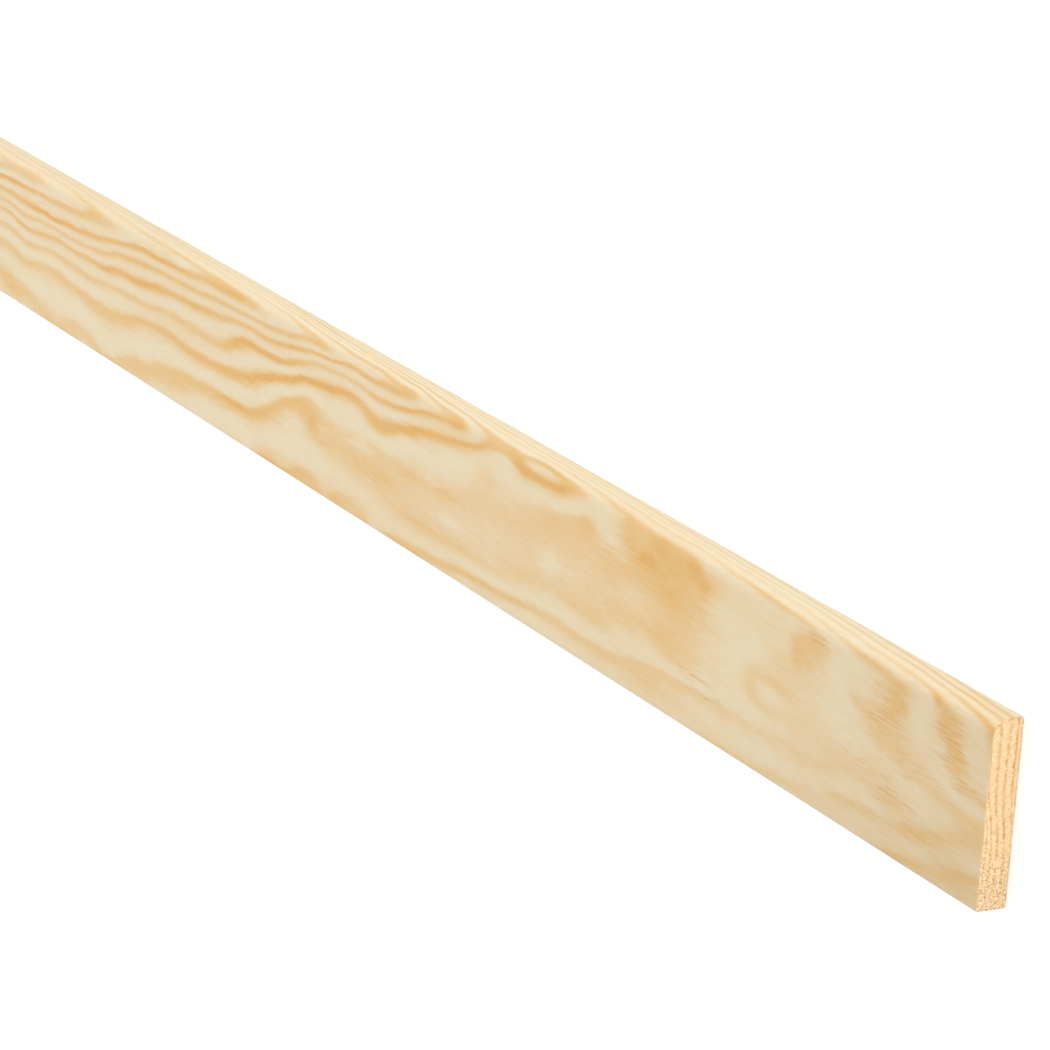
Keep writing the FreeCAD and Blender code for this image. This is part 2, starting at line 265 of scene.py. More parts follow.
# General darkness along the board, (u, darkness), and spots that are darker or paler than
# that, whatever the ring: (u, s, reach along, reach up, how much darker).
TONE_ALONG = [(0, 0.2), (20, 0.12), (60, 0.11), (110, 0.04), (220, 0.11), (300, 0.07), (420, 0.04)]
TONE_SPOTS = [
    (858, 12, 14, 4, 0.2), (850, 4, 14, 3, 0.35), (835, 66.5, 14, 1.6, 0.2), (800, 48, 110, 14, 0.1),
    (773, 69, 14, 1.5, 0.15), (700, 19, 16, 4, -0.05), (697, 30.5, 8, 1.8, 0.15), (696, 3, 10, 2.5, 0.15),
    (691, 11, 10, 2.2, -0.15), (660, 33, 40, 3, 0.15), (647, 65, 16, 2, -0.25), (620, 56, 120, 10, 0.1),
    (612, 12, 16, 2, 0.2), (598, 66.3, 22, 1.5, 0.15), (561, 3, 10, 2.2, 0.15), (547, 38.5, 7, 2, -0.25),
    (545, 4, 25, 4, 0.25), (538, 26, 14, 3, -0.2), (520, 55, 60, 10, 0.05), (510, 28, 7, 3, -0.15),
    (506, 63, 8, 1.5, 0.15), (500, 3, 12, 3, 0.25), (490, 8, 30, 4, 0.05), (484, 53, 8, 1.4, 0.15),
    (480, 47, 8, 1.4, -0.15), (455, 66.5, 8, 1.5, -0.15), (433, 66, 7, 1.5, 0.15), (430, 9, 60, 5, 0.1),
    (425, 48, 12, 1.5, 0.15), (400, 60, 40, 6, 0.2), (400, 52, 20, 4, -0.15), (380, 22, 60, 10, -0.05),
    (379, 15, 14, 1.8, 0.15), (361, 3, 16, 1.6, 0.15), (352, 63, 12, 3, -0.2), (345, 27, 40, 8, -0.1),
    (334, 60, 6, 1.8, 0.2), (331, 67, 9, 1.6, -0.3), (275, 33, 35, 14, -0.2), (255, 5, 50, 4, 0.1),
    (250, 60, 9, 7, 0.2), (235, 38, 20, 8, -0.15), (214, 25, 12, 2, -0.15), (205, 45, 30, 12, -0.05),
    (200, 5, 30, 4, 0.1), (195, 60, 10, 6, -0.1), (192, 28, 12, 8, -0.2), (192, 21, 12, 1.5, 0.15),
    (150, 58, 30, 8, 0.1), (140, 47, 8, 4, 0.1), (111, 3, 22, 2, 0.15), (110, 12, 30, 5, 0.1),
    (89, 31, 9, 2.5, -0.15), (64, 50, 18, 12, -0.05), (60, 33, 20, 5, 0.1), (60, 4, 40, 3, 0.15),
    (60, 22, 12, 3, -0.1), (46, 16, 12, 4, 0.2), (25, 12, 20, 5, 0.2), (20, 22, 20, 6, 0.05),
    (20, 51, 8, 9, -0.05), (18, 74, 22, 2.5, 0.15), (10, 4, 14, 4, 0.15), (1, 61, 3, 5, 0.25),
]

# Spots of short torn fibres, which show as dark dashes: (u, s, reach along, reach up, how many).
FIBRE_SPOTS = [
    (400, 25, 90, 12, 0.2), (230, 52, 40, 10, 0.25), (195, 22, 15, 3, 1.1), (181, 15.5, 14, 2, 1.1),
    (115, 58, 14, 8, 0.5), (82, 29, 16, 2, 0.7), (72, 47, 12, 4, 0.6), (62, 55, 10, 9, 0.9),
    (58, 22, 16, 4, 0.6), (45, 35, 30, 5, 0.5), (40, 14, 20, 4, 0.4), (23, 52, 9, 10, 1.0),
    (12, 40, 14, 4, 0.7),
]

# Depth of wood from one ring to the next, and the look of the sides without rings of their own.
RING_PITCH = 3.2
LOWER_SIDE_STRENGTH = 0.34
HIDDEN_TONE = 0.06
HIDDEN_FIBRE = 0.15

# Section of the board, walked by column numbers up the width and row numbers through it.
EASED_COLUMNS = 2
FLAT_COLUMNS = 31
ROUND_COLUMNS = 8
COLUMNS = EASED_COLUMNS + FLAT_COLUMNS + ROUND_COLUMNS
ROWS = 6
LOOP_POINTS = 2 * (COLUMNS + ROWS)

# Points to a column at the sawn arrises, next to them, and along the rest of the board.
ARRIS_STEPS = 4
NEXT_STEPS = 2
PLAIN_STEPS = 1

FIELD_NAMES = ("ring", "strength", "tone", "shade", "fibre")


def ease(x, first, last):
    """0 before first, 1 after last, smooth between."""
    x = np.clip((x - first) / (last - first), 0, 1)
    return x * x * (3 - 2 * x)


def spot(along, up, reach_along, reach_up):
    """1 in the middle of a rounded spot, falling off past its reach."""
    away = (along / reach_along) ** 2 + (up / reach_up) ** 2
    return np.exp(-away ** 1.5)


def spots_total(u, s, spots):
    """What a list of spots adds up to at a place."""
    total = np.zeros(len(u))
    for spot_u, spot_s, reach_along, reach_up, value in spots:
        total += value * spot(u - spot_u, s - spot_s, reach_along, reach_up)
    return total


def scattered_surface(places, values, at, along=0.33, smooth=0.002, block_size=20000):
    """Thin-plate surface through scattered values. Distances along the board count for less."""
    scale = np.array([along, 1.0])
    places = places * scale

    def kernel(points):
        square = ((points[:, None, :] - places[None, :, :]) ** 2).sum(-1)
        return 0.5 * square * np.log(square + 1e-9)

    count = len(places)
    plane = np.column_stack([np.ones(count), places])
    system = np.block([
        [kernel(places) + smooth * count * np.eye(count), plane],
        [plane.T, np.zeros((3, 3))],
    ])
    weights = np.linalg.solve(system, np.concatenate([values, np.zeros(3)]))
    found = np.empty(len(at))
    for start in range(0, len(at), block_size):
        block = at[start:start + block_size] * scale
        flat = np.column_stack([np.ones(len(block)), block]) @ weights[count:]
        found[start:start + block_size] = kernel(block) @ weights[:count] + flat
    return found


def seeded_waves(seed, count, along, across, amplitude):
    """Smooth irregular field of a few long waves: along and across are wavelengths in mm."""
    draw = np.random.default_rng(seed)
    pitch_u = 2 * math.pi / (along * draw.uniform(0.6, 1.8, count))
    pitch_w = 2 * math.pi / (across * draw.uniform(0.6, 1.8, count)) * draw.choice([-1, 1], count)
    phase = draw.uniform(0, 2 * math.pi, count)
    share = amplitude * math.sqrt(2 / count)

    def field(u, w):
        total = np.zeros(np.broadcast(u, w).shape)
        for k_u, k_w, start in zip(pitch_u, pitch_w, phase):
            total += np.sin(k_u * u + k_w * w + start)
        return share * total

    return field


far_wide = seeded_waves(11, count=9, along=260, across=60, amplitude=0.34)
far_fine = seeded_waves(12, count=9, along=90, across=22, amplitude=0.12)
back_wide = seeded_waves(13, count=9, along=420, across=75, amplitude=0.9)
back_fine = seeded_waves(14, count=9, along=120, across=30, amplitude=0.16)
far_strength = seeded_waves(15, count=8, along=180, across=30, amplitude=0.2)


def ring_places():
    """Every place whose ring value is given, as rows of u, s and ring value."""
    places = [(u, s, n) for n, line in RINGS.items() for u, s in line]
    places += BETWEEN_RINGS
    places += [(u, s, ring) for u, column in FAR_RINGS.items() for s, ring in zip(FAR_HEIGHTS, column)]
    return np.array(places, float)


def face_rings(u, s):
    """Ring value on the face, the rounded edge and the upper edge."""
    given = ring_places()
    shown = scattered_surface(given[:, :2], given[:, 2], np.column_stack([u, s]))
    return shown + ease(u, 890, 1010) * (far_wide(u, s) + far_fine(u, s))


def face_strength(u, s, ring):
    """How dark a ring shows: its strength along the board, the spots, and a fade round the edge."""
    nearest = np.clip(np.round(ring), 0, max(RING_STRENGTH)).astype(int)
    strength = np.empty(len(u))
    for n, profile in RING_STRENGTH.items():
        of_ring = nearest == n
        strength[of_ring] = np.interp(u[of_ring], *zip(*profile))
    for spot_u, spot_s, reach_along, reach_up, value in STRENGTH_SPOTS:
        strength += spot(u - spot_u, s - spot_s, reach_along, reach_up) * (value - strength)

    # Past the part that the photograph shows, all rings are much alike.
    strength += ease(u, 870, 960) * (0.66 + far_strength(u, s) - strength)
    contrast = 1.1 + 0.04 * ease(u, 240, 320)
    fade = 0.6 + 0.25 * ease(u, 500, 620) * (1 - ease(u, 880, 960))
    return contrast * strength * (1 - fade * ease(s, 64.5, 69.5))


def face_tone(u, s):
    """Darkness apart from the rings: most near the sawn end, least on the edge."""
    tone = np.interp(u, *zip(*TONE_ALONG)) + spots_total(u, s, TONE_SPOTS)
    paler_round = 0.04 * ease(s, 66, 68) * (1 - 0.5 * ease(u, 150, 250) - 1.5 * ease(u, 540, 660))
    paler_back_arris = 0.1 * ease(s, 75, 77)
    return tone - paler_round - paler_back_arris


def face_fibre(u, s):
    """How much the fibres are torn: most in the spots, a little everywhere near the sawn end."""
    return 0.12 + 0.18 * np.exp(-u / 90) + spots_total(u, s, FIBRE_SPOTS)


def face_shade(u, s):
    """Brightness of the surface, all of it painted shade: darker towards the near sawn end, and at the
    start of the round, the back arris and the far upper side.
    """
    # Painted shade towards the near sawn end, deepest low on the face.
    painted_shade_near_end = 0.085 * np.exp(-((u / 120) ** 2)) + 0.01 * (1 - ease(u, 300, 500))
    painted_shade_near_end_low = 0.065 * np.exp(-u / 250) * np.clip(1 - s / 32, 0, 1)
    # Painted shade at the start of the round, at the back arris and along the upper side past 540 mm.
    start_of_round = 0.05 * np.exp(-((s - 65) / 1.4) ** 2)
    back_arris = 0.04 * ease(s, 74.5, 76.5)
    upper_side = 0.05 * ease(s, 66, 73) * ease(u, 540, 700)
    return 1 - (painted_shade_near_end + painted_shade_near_end_low) * (1 - ease(s, 63, 67)) - start_of_round - back_arris - upper_side


def round_turn(column):
    """How far a column is round the big radius, in radians."""
    return np.clip((column - EASED_COLUMNS - FLAT_COLUMNS) / ROUND_COLUMNS, 0, 1) * math.pi / 2


def eased_turn(column):
    """How far a column is round the lower front arris, in radians."""
    return np.clip(column / EASED_COLUMNS, 0, 1) * math.pi / 2


def column_width(column):
    """Height w of a column."""
    turn = round_turn(column)
    eased = EASED * (1 - np.cos(eased_turn(column)))
    flat = EASED + (ROUND_START - EASED) * (column - EASED_COLUMNS) / FLAT_COLUMNS
    rounded = ROUND_START + ROUND * np.sin(turn)
    return np.where(column < EASED_COLUMNS, eased, np.where(turn > 0, rounded, flat))


def column_span(column):
    """Depth t of the front and of the back of a column."""
    turn = round_turn(column)
    lower = EASED * (1 - np.sin(eased_turn(column)))
    past = np.clip(column_width(column) - (WIDTH - EASED), 0, EASED)
    upper = EASED - np.sqrt(np.maximum(EASED ** 2 - past ** 2, 0))
    front = np.where(turn > 0, ROUND * (1 - np.cos(turn)), lower)
    return front, THICKNESS - np.where(turn > 0, upper, lower)


def column_height(column):
    """Height s of the front of a column, measured along the surface."""
    turn = round_turn(column)
    return np.where(turn > 0, ROUND_START + ROUND * turn, column_width(column))


def section_loop(steps):
    """Column and row of each point round the section, with this many steps to a column."""
    across = np.arange(0, COLUMNS * steps + 1) / steps
    through = np.arange(1, ROWS * steps) / steps
    front = [(column, 0) for column in across]
    upper = [(COLUMNS, row) for row in through]
    back = [(column, ROWS) for column in across[::-1]]
    lower = [(0, row) for row in through[::-1]]
    return np.array(front + upper + back + lower).T


def section_points(column, row):
    """Width w and depth t of section points."""
    front, back = column_span(column)
    return column_width(column), front + (back - front) * row / ROWS


def face_fields(u, height):
    """The five fields on the face and the upper edge, as arrays of station by height."""
    grid_u, grid_s = [grid.ravel() for grid in np.meshgrid(u, height, indexing="ij")]
    ring = face_rings(grid_u, grid_s)
    found = {
        "ring": ring,
        "strength": face_strength(grid_u, grid_s, ring),
        "tone": face_tone(grid_u, grid_s),
        "shade": face_shade(grid_u, grid_s),
        "fibre": face_fibre(grid_u, grid_s),
    }
    return {name: values.reshape(len(u), -1) for name, values in found.items()}


def back_rings(w, lower, upper):
    """Ring value on the back, evenly between the rings that reach it over its two edges."""
    share = w / WIDTH
    return (1 - share) * (lower + THICKNESS / RING_PITCH) + share * upper


def side_fields(u, steps):
    """The five fields round the section at each station, as arrays of station by point."""
    column, row = section_loop(steps)
    w, t = section_points(column, row)
    shape = (len(u), len(column))
    fields = {
        "ring": np.zeros(shape),
        "strength": np.zeros(shape),
        "tone": np.full(shape, HIDDEN_TONE),
        "shade": np.ones(shape),
        "fibre": np.full(shape, HIDDEN_FIBRE),
    }
    face = (row == 0) | (column == COLUMNS)
    height = np.where(row == 0, column_height(column), ROUND_END + t - ROUND)
    for name, values in face_fields(u, height[face]).items():
        fields[name][:, face] = values

    lower_side = ~face & (column == 0)
    lower = fields["ring"][:, :1]
    fields["ring"][:, lower_side] = lower + t[lower_side] / RING_PITCH
    fields["strength"][:, lower_side] = LOWER_SIDE_STRENGTH
    # The lower side carries on the painted shade of the face at its lower arris.
    fields["shade"][:, lower_side] = fields["shade"][:, :1]

    back = ~face & ~lower_side
    upper = face_rings(u, np.full(len(u), BACK_HEIGHT))[:, None]
    grid_u, grid_w = u[:, None], w[back][None, :]
    bulge = np.sin(math.pi * grid_w / WIDTH) * (back_wide(grid_u, grid_w) + back_fine(grid_u, grid_w))
    fields["ring"][:, back] = back_rings(grid_w, lower, upper) + bulge
    fields["strength"][:, back] = 0.6 + 0.6 * far_strength(grid_u, grid_w + 200)
    return fields


def end_section(u):
    """Width w, depth t and ring value of a grid over the whole section at a sawn end."""
    across = np.arange(0, COLUMNS * ARRIS_STEPS + 1) / ARRIS_STEPS
    through = np.arange(0, ROWS * ARRIS_STEPS + 1) / ARRIS_STEPS
    w, t = section_points(*np.meshgrid(across, through, indexing="ij"))
    front = face_rings(np.full(len(across), u), column_height(across))[:, None]
    upper = face_rings(np.array([u]), np.array([BACK_HEIGHT]))[0]

    # The rings of the face reach a few millimetres in. Deeper they run evenly to the back.
    calm = back_rings(w, front[0, 0], upper) - THICKNESS / RING_PITCH
    rings = calm + t / RING_PITCH + (front - calm) * np.exp(-t / 2.5)
    bend = 0.5 * np.tanh((w - 30) / 9)
    return w, t, rings + bend


def row_frame(u, w, t):
    """Board millimetres to metres in the row frame."""
    return np.stack([(LENGTH / 2 - u) / 1000, (w - WIDTH / 2) / 1000, (THICKNESS - t) / 1000], -1)


class BoardMesh:
    """Points with their fields and their places in the bake layout, and faces, added in turn."""

    def __init__(self):
        self.count = 0
        self.points = []
        self.places = []
        self.faces = []
        self.fields = {name: [] for name in FIELD_NAMES}

    def add_points(self, points, fields, places):
        """Add points, and return the number of the first."""
        first = self.count
        self.count += len(points)
        self.points.append(points)
        self.places.append(places)
        for name in FIELD_NAMES:
            self.fields[name].append(fields[name].ravel())
        return first

    def add_quads(self, *corners):
        """Add four-cornered faces, from one array of point numbers for each corner."""
        self.faces += np.stack(corners, 1).tolist()

    def make(self, name):
        """Make the mesh, shaded smooth, with each field as a point attribute."""
        mesh = bpy.data.meshes.new(name)
        mesh.from_pydata(np.concatenate(self.points).tolist(), [], self.faces)
        mesh.update()
        for field, values in self.fields.items():
            layer = mesh.attributes.new(field, "FLOAT", "POINT")
            layer.data.foreach_set("value", np.concatenate(values).astype(np.float32))
        mesh.polygons.foreach_set("use_smooth", np.ones(len(mesh.polygons), bool))
        return mesh


def station_bands():
    """Stations along the board, and how many steps each band has to a column."""
    arris = np.arange(0, 2.01, 0.5)
    next_to_it = np.array([3.0, 4.0, 5.0, 6.5, 8.0])
    in_view = [np.arange(9.25, 260, 1.25), np.arange(260, 900, 2.0)]
    out_of_view = np.arange(900, LENGTH - 9, 5.0)
    return [
        (arris, ARRIS_STEPS),
        (next_to_it, NEXT_STEPS),
        (np.concatenate([*in_view, out_of_view]), PLAIN_STEPS),
        (LENGTH - next_to_it[::-1], NEXT_STEPS),
        (LENGTH - arris[::-1], ARRIS_STEPS),
    ]


def torn_back(draw, u, w, t):
    """Points near a sawn end, where the saw has torn and crushed the arris by up to 0.35 mm."""
    from_end = np.minimum(u, LENGTH - u)
    inward = np.where(u < LENGTH / 2, 1, -1)
    torn = draw.uniform(0, 1, u.shape) ** 3
    torn = 0.5 * torn + 0.5 * np.roll(torn, 1, 1)
    at_end = np.exp(-from_end / 0.45)
    shorter = at_end * (0.05 + 0.3 * torn) * (from_end < 0.3)
    crushed = at_end * (0.05 + 0.28 * torn)
    middle_w = np.clip(WIDTH / 2 - w, -1, 1)
    middle_t = np.clip(THICKNESS / 2 - t, -1, 1)
    return u + inward * shorter, w + crushed * middle_w, t + crushed * middle_t


def add_band(board, draw, u, steps):
    """Sides of the board along a band of stations. Returns the starts of its first and last loop."""
    w, t = section_points(*section_loop(steps))
    count = len(w)
    girth = np.cumsum(np.hypot(w - np.roll(w, 1), t - np.roll(t, 1)))
    grid = (np.repeat(u[:, None], count, 1), np.tile(w, (len(u), 1)), np.tile(t, (len(u), 1)))
    if steps == ARRIS_STEPS:
        grid = torn_back(draw, *grid)
    places = np.stack([np.repeat(u, count), np.tile(girth, len(u))], 1)
    first = board.add_points(row_frame(*grid).reshape(-1, 3), side_fields(u, steps), places)
    this = np.arange(count)
    following = np.roll(this, -1)
    last = first + (len(u) - 1) * count
    for near in range(first, last, count):
        far = near + count
        board.add_quads(near + this, near + following, far + following, far + this)
    return first, last


def join_loops(board, near, near_steps, far, far_steps):
    """Triangles between two loops, one twice as fine: three to each step of the coarser."""
    near_is_fine = near_steps > far_steps
    fine, coarse = (near, far) if near_is_fine else (far, near)
    count = LOOP_POINTS * min(near_steps, far_steps)
    for k in range(count):
        this, following = coarse + k, coarse + (k + 1) % count
        first, middle, last = [fine + (2 * k + n) % (2 * count) for n in range(3)]
        for corners in ((first, middle, this), (middle, last, following), (this, middle, following)):
            board.faces.append(corners if near_is_fine else corners[::-1])


def add_sawn_end(board, draw, u, inward, loop):
    """Close a sawn end with a grid that is welded to its loop. The end grain stands uneven."""
    w, t, ring = end_section(u)
    rim = np.rint(ARRIS_STEPS * section_loop(ARRIS_STEPS)).astype(int)
    number = np.full(w.shape, -1)
    number[tuple(rim)] = loop + np.arange(rim.shape[1])
    inside = number < 0
    count = int(inside.sum())
    fields = {
        "ring": ring[inside],
        "strength": np.full(count, 0.6),
        "tone": np.zeros(count),
        "shade": np.ones(count),
        "fibre": np.zeros(count),
    }
    relief = 0.03 + 0.2 * draw.uniform(0, 1, count) ** 2
    points = row_frame(u + inward * relief, w[inside], t[inside])
    first = board.add_points(points, fields, np.zeros((count, 2)))
    number[inside] = first + np.arange(count)
    corners = [number[:-1, :-1], number[1:, :-1], number[1:, 1:], number[:-1, 1:]]
    if inward > 0:
        corners = [corners[0], corners[3], corners[2], corners[1]]
    board.add_quads(*(corner.ravel() for corner in corners))


def build_board():
    """One closed mesh. Returns it with its number of side faces and its bake layout places."""
    board = BoardMesh()
    draw = np.random.default_rng(5)
    bands = station_bands()
    loops = [add_band(board, draw, u, steps) for u, steps in bands]
    for k in range(len(bands) - 1):
        join_loops(board, loops[k][1], bands[k][1], loops[k + 1][0], bands[k + 1][1])
    side_faces = len(board.faces)
    add_sawn_end(board, draw, 0.0, 1, loops[0][0])
    add_sawn_end(board, draw, LENGTH, -1, loops[-1][1])
    return board.make("skirting_board_planed"), side_faces, np.concatenate(board.places)


def mesh_values(items, name, kind=int, size=1):
    """One value of each item of a mesh, or several of each, in one flat array."""
    values = np.empty(len(items) * size, kind)
    items.foreach_get(name, values)
    return values


def lay_out(mesh, side_faces, places):
    """Bake layout: the unrolled surface in four rows, with the sawn ends beside them."""
    rows, gap, inset = 4, 5.0, 2.0
    end_scale, end_gap, near_end_up, between_ends = 2, 8, 6, 10
    row_length = LENGTH / rows
    girth = 2 * (WIDTH + THICKNESS) + (math.pi / 2 - 2) * ROUND
    sheet = rows * (girth + gap)

    vertex = mesh_values(mesh.loops, "vertex_index")
    start = mesh_values(mesh.polygons, "loop_start")
    total = mesh_values(mesh.polygons, "loop_total")
    face = np.repeat(np.arange(len(total)), total)

    # The faces where the unrolled surface closes are moved whole to its end.
    u, around = places[vertex].T
    lowest = np.minimum.reduceat(around, start)[face]
    highest = np.maximum.reduceat(around, start)[face]
    closing = (highest - lowest > girth / 2) & (around < girth / 2)
    around = np.where(closing, around + girth, around)
    middle = np.add.reduceat(u, start) / total
    row = np.clip(middle // row_length, 0, rows - 1)[face]
    across = u - row * row_length + inset
    up = row * (girth + gap) + around + inset

    # The sawn ends are laid out larger, one above the other.
    point = mesh_values(mesh.vertices, "co", float, 3).reshape(-1, 3)
    x, y, z = 1000 * point[vertex].T
    is_end = face >= side_faces
    far_end_up = near_end_up + end_scale * WIDTH + between_ends
    end_up = np.where(x > 0, near_end_up, far_end_up)
    across = np.where(is_end, row_length + end_gap + end_scale * z, across)
    up = np.where(is_end, end_scale * (y + WIDTH / 2) + end_up, up)
    layer = mesh.uv_layers.new(name="OFBake")
    layer.data.foreach_set("uv", (np.stack([across, up], 1) / sheet).ravel())


def linear(red, green, blue):
    """Shader colour for one given as it looks on screen. Not for parts near black."""
    return (*(((part / 255 + 0.055) / 1.055) ** 2.4 for part in (red, green, blue)), 1.0)


class Nodes:
    """Node tree of a material or world, and ways to add nodes to it."""

    def __init__(self, owner):
        owner.use_nodes = True
        self.owner = owner
        self.tree = owner.node_tree
        self.tree.nodes.clear()

    def node(self, kind, **settings):
        node = self.tree.nodes.new(kind)
        for key, value in settings.items():
            setattr(node, key, value)
        return node

    def put(self, socket, value):
        """Link a socket to a node, or set its own value."""
        if isinstance(value, bpy.types.NodeSocket):
            self.tree.links.new(value, socket)
        else:
            socket.default_value = value

    def math(self, operation, *values, clamp=False):
        node = self.node("ShaderNodeMath", operation=operation, use_clamp=clamp)
        for socket, value in zip(node.inputs, values):
            self.put(socket, value)
        return node.outputs[0]

    def total(self, first, *others):
        for other in others:
            first = self.math("ADD", first, other)
        return first

    def centred(self, noise, amount):
        """Noise as a change both ways, this much from its lowest to its highest."""
        return self.math("MULTIPLY_ADD", noise, amount, -amount / 2)

    def stretched(self, place, scale):
        node = self.node("ShaderNodeVectorMath", operation="MULTIPLY")
        self.put(node.inputs[0], place)
        node.inputs[1].default_value = scale
        return node.outputs[0]

    def place(self):
        """Place in the row frame, in millimetres."""
        node = self.node("ShaderNodeTexCoord")
        return self.stretched(node.outputs["Object"], (1000, 1000, 1000))

    def across(self, place):
        """Distance across the face from its middle, towards the rounded edge."""
        node = self.node("ShaderNodeSeparateXYZ")
        self.put(node.inputs[0], place)
        return node.outputs[1]

    def noise(self, place, scale, detail, roughness):
        node = self.node("ShaderNodeTexNoise", noise_dimensions="3D")
        self.put(node.inputs["Vector"], self.stretched(place, scale))
        node.inputs["Scale"].default_value = 1.0
        node.inputs["Detail"].default_value = detail
        node.inputs["Roughness"].default_value = roughness
        return node.outputs[0]

    def ramp(self, value, stops):
        node = self.node("ShaderNodeValToRGB")
        elements = node.color_ramp.elements
        while len(elements) < len(stops):
            elements.new(0.5)
        for element, (position, colour) in zip(elements, stops):
            element.position = position
            element.color = colour if isinstance(colour, tuple) else (colour, colour, colour, 1)
        self.put(node.inputs[0], value)
        return node.outputs[0]

    def attribute(self, name):
        return self.node("ShaderNodeAttribute", attribute_name=name).outputs["Fac"]

    def mix(self, factor, first, second, blend="MIX"):
        node = self.node("ShaderNodeMix", data_type="RGBA", blend_type=blend)
        self.put(node.inputs[0], factor)
        self.put(node.inputs[6], first)
        self.put(node.inputs[7], second)
        return node.outputs[2]

    def seen(self):
        """1 for what the camera sees directly, in reflections or through glass, otherwise 0."""
        path = self.node("ShaderNodeLightPath")
        seen = self.math("MAXIMUM", path.outputs["Is Camera Ray"], path.outputs["Is Glossy Ray"])
        return self.math("MAXIMUM", seen, path.outputs["Is Transmission Ray"])

    def finish(self, colour, roughness, specular, height, bump_distance):
        """Surface with its bumps, which are bump_distance metres deep at full height."""
        bump = self.node("ShaderNodeBump")
        bump.inputs["Strength"].default_value = 1.0
        bump.inputs["Distance"].default_value = bump_distance
        self.put(bump.inputs["Height"], height)
        surface = self.node("ShaderNodeBsdfPrincipled")
        self.put(surface.inputs["Base Color"], colour)
        self.put(surface.inputs["Roughness"], roughness)
        surface.inputs["Specular IOR Level"].default_value = specular
        self.put(surface.inputs["Normal"], bump.outputs[0])
        output = self.node("ShaderNodeOutputMaterial")
        self.put(output.inputs["Surface"], surface.outputs[0])
        return self.owner


# Colours of the planed and the sawn wood, from palest to darkest, as they look in even light,
# and of the torn dashes.
PLANED_COLOURS = [
    (0.0, linear(233, 218, 185)),
    (0.2, linear(233, 209, 168)),
    (0.4, linear(231, 200, 150)),
    (0.6, linear(230, 192, 132)),
    (0.8, linear(229, 185, 117)),
    (1.0, linear(226, 175, 100)),
]
SAWN_COLOURS = [
    (0.0, linear(250, 227, 187)),
    (0.35, linear(239, 208, 163)),
    (0.7, linear(222, 180, 128)),
    (1.0, linear(196, 150, 98)),
]
DASH_COLOUR = linear(194, 142, 100)

# Darkness across one ring, from the middle of its pale wood to the next: it starts faster
# than it fades, and is darkest halfway.
RING_PROFILE = [
    (0.08, 0.0), (0.17, 0.06), (0.25, 0.2), (0.33, 0.5), (0.39, 0.84), (0.44, 1.0),
    (0.55, 1.02), (0.61, 0.88), (0.67, 0.63), (0.74, 0.37), (0.84, 0.13), (0.95, 0.0),
]


def ring_darkness(wood, ring):
    """0 in the pale wood and 1 in the dark wood of each ring."""
    return wood.ramp(wood.math("FRACT", wood.math("ADD", ring, 0.5)), RING_PROFILE)


def planed_wood():
    """Rings, fine fibres and torn dashes, on a surface that is smooth to the touch."""
    wood = Nodes(bpy.data.materials.new("planed_pine"))
    place = wood.place()
    wander = wood.noise(place, (0.035, 0.12, 0.12), detail=4.0, roughness=0.65)
    scallop = wood.noise(place, (0.065, 0.16, 0.16), detail=3.0, roughness=0.55)
    streak = wood.noise(place, (0.05, 0.9, 0.9), detail=3.0, roughness=0.6)
    fibre = wood.noise(place, (0.12, 0.5, 0.5), detail=4.0, roughness=0.7)
    mottle = wood.noise(place, (0.05, 0.22, 0.22), detail=3.0, roughness=0.6)
    dash = wood.noise(place, (0.09, 1.3, 1.3), detail=3.0, roughness=0.55)

    # The rings wander a little, and torn fibres blur their edges.
    torn = wood.attribute("fibre")
    blur = wood.math("MULTIPLY", wood.centred(streak, 1.0), wood.math("MULTIPLY_ADD", torn, 0.65, 0.12))
    wander = wood.total(wood.centred(wander, 0.24), wood.centred(scallop, 0.2))
    ring = wood.total(wood.attribute("ring"), blur, wander)
    band = wood.math("MULTIPLY", ring_darkness(wood, ring), wood.attribute("strength"))

    # Darkness of the wood, and short dashes where its fibres are torn.
    dashes = wood.math("MULTIPLY", wood.ramp(dash, [(0.54, 0.0), (0.64, 1.0)]), torn)
    dark = wood.total(band, wood.attribute("tone"), wood.centred(mottle, 0.2), wood.centred(fibre, 0.56))
    dark = wood.math("MULTIPLY_ADD", dashes, 0.15, dark, clamp=True)
    colour = wood.ramp(dark, PLANED_COLOURS)
    colour = wood.mix(wood.math("MULTIPLY", dashes, 0.28, clamp=True), colour, DASH_COLOUR)

    # On the upper edge the lines are darker, and the wood between them a little brighter.
    upper_edge = wood.math("MULTIPLY_ADD", wood.across(place), 0.35, -11.0, clamp=True)
    lines = wood.math("MULTIPLY", upper_edge, wood.math("MULTIPLY_ADD", band, -0.4, 0.03))
    shade = wood.total(wood.attribute("shade"), lines, wood.centred(fibre, 0.08))
    # The colour is multiplied by the painted shade, the edge lines and the fibre flecks.
    colour = wood.mix(1.0, colour, shade, "MULTIPLY")
    roughness = wood.math("MULTIPLY_ADD", fibre, 0.12, 0.46)
    height = wood.math("MULTIPLY_ADD", dark, 0.6, fibre)
    return wood.finish(colour, roughness, specular=0.3, height=height, bump_distance=0.00002)


